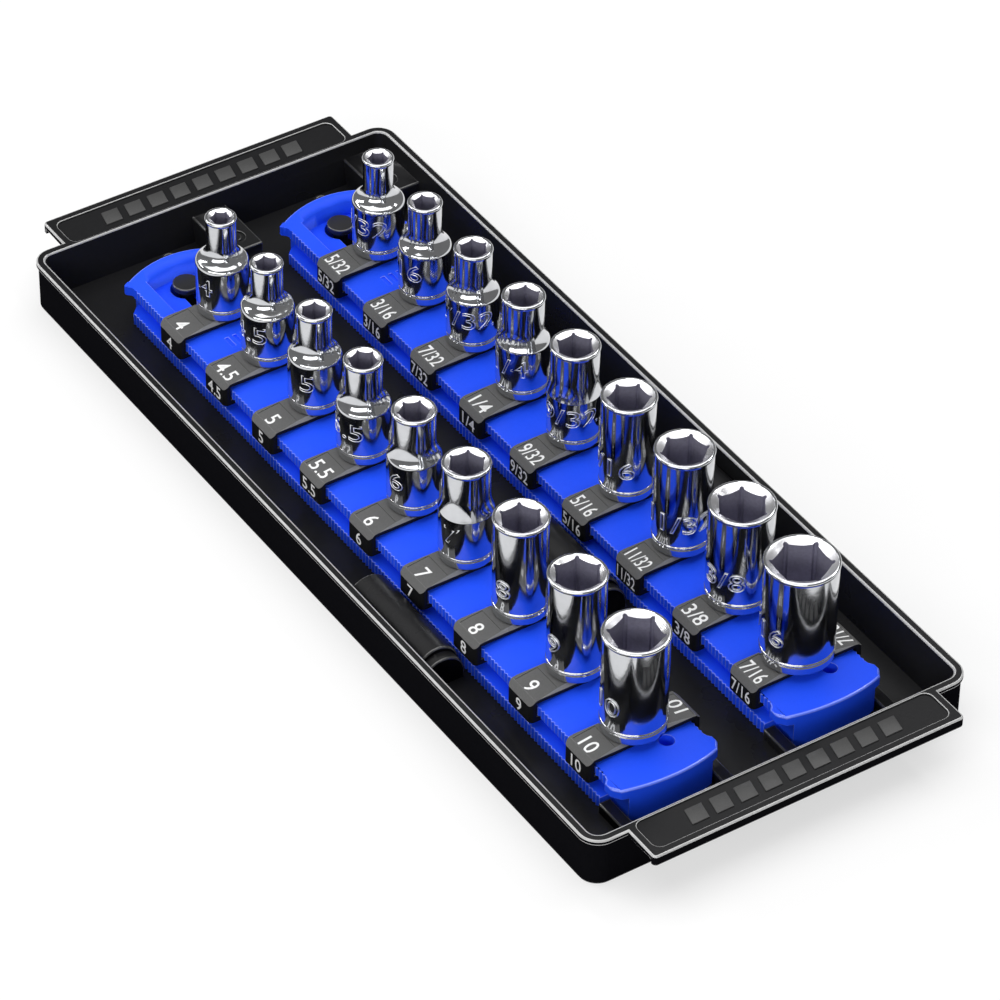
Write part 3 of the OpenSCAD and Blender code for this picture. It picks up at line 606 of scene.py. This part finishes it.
for tag, words in LABELS.items():
    clip = "clip_" + tag
    center = middle("post_" + tag)

    def on_crown(point, center=center):
        fall = CROWN_R - math.sqrt(CROWN_R ** 2 - (point.x - center.x) ** 2)
        return Vector((point.x, point.y, point.z + CROWN_Z - PAD_SINK - fall))

    for side, angle in (("left", -90), ("right", 90)):
        sign = -1 if side == "left" else 1
        mesh = squeezed(text_mesh("number_%s_%s" % (side, tag), words, TOP_H, PRINT_T), TOP_L)
        laid(mesh, Matrix.Rotation(math.radians(angle), 4, "Z"),
             (center.x + sign * PAD_MIDDLE, center.y, PRINT_T), on_crown)
        link(mesh.name, mesh, [LABEL_WHITE], clip)
        mesh = text_mesh("number_%s_side_%s" % (side, tag), words, SIDE_H, PRINT_T)
        mesh = squeezed(mesh, SIDE_L)
        stand = (Matrix.Rotation(math.radians(angle), 4, "Z")
                 @ Matrix.Rotation(math.radians(90), 4, "X"))
        laid(mesh, stand, (center.x + sign * CLIP_HALF_W, center.y, CROWN_Z - SIDE_DROP))
        link(mesh.name, mesh, [LABEL_WHITE], clip)
print("numbers on the clips:", 4 * len(LABELS))

# %% [markdown]
# ## Numbers on the sockets
# The size is rolled into the chrome low on each socket. A rolled mark shows mainly as the bright
# outline of its digits, so the text's outline becomes a hair-thin bead, wrapped round the socket at
# the CAD model's radius. The wide sockets have a slightly thinner body here, so the bead stands off
# it there. The bead's metal is paler than the chrome: a painted highlight on top of the light that
# the bead itself catches.

# %% Rolled numbers
MARK_H, MARK_Z, MARK_BEAD, MARK_STRETCH, MARK_PRESS = 4.4, 8.8, 0.11, 1.3, 0.01
MARK_FRONT = -123.7  # the direction from a socket to the camera
MARK_TURNS = {"m4": -38, "m4_5": -45, "m5": -15, "m5_5": -43, "m6": -40, "m7": -31, "m8": -38,
              "m9": -50, "m10": -52, "i5_32": -43, "i3_16": -72, "i7_32": -18, "i1_4": -30,
              "i9_32": -12, "i5_16": -50, "i11_32": -8, "i3_8": -30, "i7_16": -75}
for tag, words in LABELS.items():
    low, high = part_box("socket_" + tag)
    axis = (low + high) / 2 / MM
    radius = (high.x - low.x) / 2 / MM
    mesh = text_mesh("rolled_" + tag, words, MARK_H, 0, weight=0.0, hollow=MARK_BEAD)

    def round_socket(point, axis=axis, radius=radius, low=low, turn=MARK_TURNS[tag]):
        angle = math.radians(MARK_FRONT + turn) + MARK_STRETCH * point.x / radius
        r = radius + point.z - MARK_PRESS
        return Vector((axis.x + r * math.cos(angle), axis.y + r * math.sin(angle),
                       low.z / MM + MARK_Z + point.y))

    laid(mesh, Matrix.Identity(4), (0, 0, 0), round_socket)
    smooth(mesh, 60)
    # The bead takes the paler metal, a painted highlight.
    link(mesh.name, mesh, [MARK_HIGHLIGHT], "socket_" + tag)

# %% [markdown]
# ## Grip bars on the pull lips
# Each pull lip has a raised pattern in its panel for the fingers. Here it is a plain row of slanted
# bars with rounded edges and a dull top, which is what a mould maker would put on any grip.

# %% Grip bars
BAR_COUNT, BAR_STEP, BAR_W, BAR_L, BAR_H, BAR_SLANT = 9, 6.0, 4.2, 4.4, 0.28, 0.9
BAR_ROOT, BAR_ROUND = 0.1, 0.12
INSIDE_END, PANEL_STRIP, LIP_END, LIP_BORDER, PANEL_SINK = 111.8, 0.7, 123.0, 1.9, 0.4
GRIP_GREY = material("grip grey", (0.045, 0.045, 0.045), 0.5, 0.08,
                     grain=3500, bump=0.5, shade=0.25)
low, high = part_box("tray")
panel_z = high.z / MM - PANEL_SINK
panel_y = (INSIDE_END + PANEL_STRIP + LIP_END - LIP_BORDER) / 2
for end, sign in (("far", 1), ("near", -1)):
    shape = bmesh.new()
    for k in range(BAR_COUNT):
        x = (k - (BAR_COUNT - 1) / 2) * BAR_STEP
        corners = [(-BAR_W / 2 - BAR_SLANT / 2, -BAR_L / 2), (BAR_W / 2 - BAR_SLANT / 2, -BAR_L / 2),
                   (BAR_W / 2 + BAR_SLANT / 2, BAR_L / 2), (-BAR_W / 2 + BAR_SLANT / 2, BAR_L / 2)]
        base, lid = ([shape.verts.new(((x + a) * MM, (panel_y + b) * MM, z * MM)) for a, b in corners]
                     for z in (panel_z - BAR_ROOT, panel_z + BAR_H))
        shape.faces.new(lid)
        shape.faces.new(base[::-1])
        for i in range(4):
            shape.faces.new((base[i], base[(i + 1) % 4], lid[(i + 1) % 4], lid[i]))
    mesh = bpy.data.meshes.new("grip_bars_" + end)
    shape.to_mesh(mesh)
    shape.free()
    if sign < 0:
        mesh.transform(Matrix.Rotation(math.pi, 4, "Z"))
    piece = link("grip_bars_" + end, mesh, [GRIP_GREY], "tray")
    bevel = piece.modifiers.new("edges", "BEVEL")
    bevel.width = BAR_ROUND * MM
    bevel.segments = 2
    settle(piece)
    smooth(piece.data, 40)

# %% [markdown]
# ## Floor and light
# A catalogue picture has a white floor that still takes the object's soft shadow. The floor is a pale
# diffuse surface. What the camera, gloss and glass see of it is mixed with plain white. The light
# comes from a broad panel overhead, a long low one at the front left, and two narrow strips at the far
# left and the right that draw bright lines along the edges.

# %% Floor
HALF_FLOOR, FLOOR_DROP, WHITE_SHARE = 3, 0.00002, 0.6
floor_mesh = bpy.data.meshes.new("floor")
floor_mesh.from_pydata([(-HALF_FLOOR, -HALF_FLOOR, 0), (HALF_FLOOR, -HALF_FLOOR, 0),
                        (HALF_FLOOR, HALF_FLOOR, 0), (-HALF_FLOOR, HALF_FLOOR, 0)],
                       [], [(0, 1, 2, 3)])
floor = bpy.data.objects.new("floor", floor_mesh)
bpy.context.scene.collection.objects.link(floor)
floor.location.z = -FLOOR_DROP
floor_white = bpy.data.materials.new("floor white")
floor_white.use_nodes = True
tree = floor_white.node_tree
tree.nodes["Principled BSDF"].inputs["Base Color"].default_value = (0.9, 0.9, 0.9, 1)
tree.nodes["Principled BSDF"].inputs["Roughness"].default_value = 0.9
glow = tree.nodes.new("ShaderNodeEmission")
glow.inputs["Color"].default_value = (1, 1, 1, 1)
rays = tree.nodes.new("ShaderNodeLightPath")


def either(first, second):
    node = tree.nodes.new("ShaderNodeMath")
    node.operation = "MAXIMUM"
    tree.links.new(first, node.inputs[0])
    tree.links.new(second, node.inputs[1])
    return node.outputs[0]


seen = either(either(rays.outputs["Is Camera Ray"], rays.outputs["Is Glossy Ray"]),
              rays.outputs["Is Transmission Ray"])
white = tree.nodes.new("ShaderNodeMath")
white.operation = "MULTIPLY"
white.inputs[1].default_value = WHITE_SHARE
tree.links.new(seen, white.inputs[0])
blend = tree.nodes.new("ShaderNodeMixShader")
tree.links.new(white.outputs[0], blend.inputs["Fac"])
tree.links.new(tree.nodes["Principled BSDF"].outputs[0], blend.inputs[1])
tree.links.new(glow.outputs[0], blend.inputs[2])
tree.links.new(blend.outputs[0], tree.nodes["Material Output"].inputs["Surface"])
floor.data.materials.append(floor_white)


# %% Lamps and world
def panel(name, place, size, power, aim=(0, 0, 0)):
    lamp = bpy.data.objects.new(name, bpy.data.lights.new(name, "AREA"))
    bpy.context.scene.collection.objects.link(lamp)
    lamp.location = place
    lamp.rotation_euler = (Vector(aim) - Vector(place)).to_track_quat("-Z", "Y").to_euler()
    lamp.data.shape = "RECTANGLE"
    lamp.data.size, lamp.data.size_y = size
    lamp.data.energy = power


panel("overhead panel", (0.05, 0.25, 1.35), (1.8, 1.6), 18)
panel("far left strip", (-0.75, 1.0, 0.75), (0.8, 0.12), 4)
panel("right strip", (0.95, 0.1, 1.05), (0.7, 0.12), 3)
panel("front left panel", (-1.05, -0.75, 0.6), (1.9, 0.4), 11)
world = bpy.data.worlds.new("studio")
bpy.context.scene.world = world
world.use_nodes = True
world.node_tree.nodes["Background"].inputs["Color"].default_value = (1, 1, 1, 1)
world.node_tree.nodes["Background"].inputs["Strength"].default_value = 0.2
bpy.context.scene.view_settings.view_transform = "Standard"
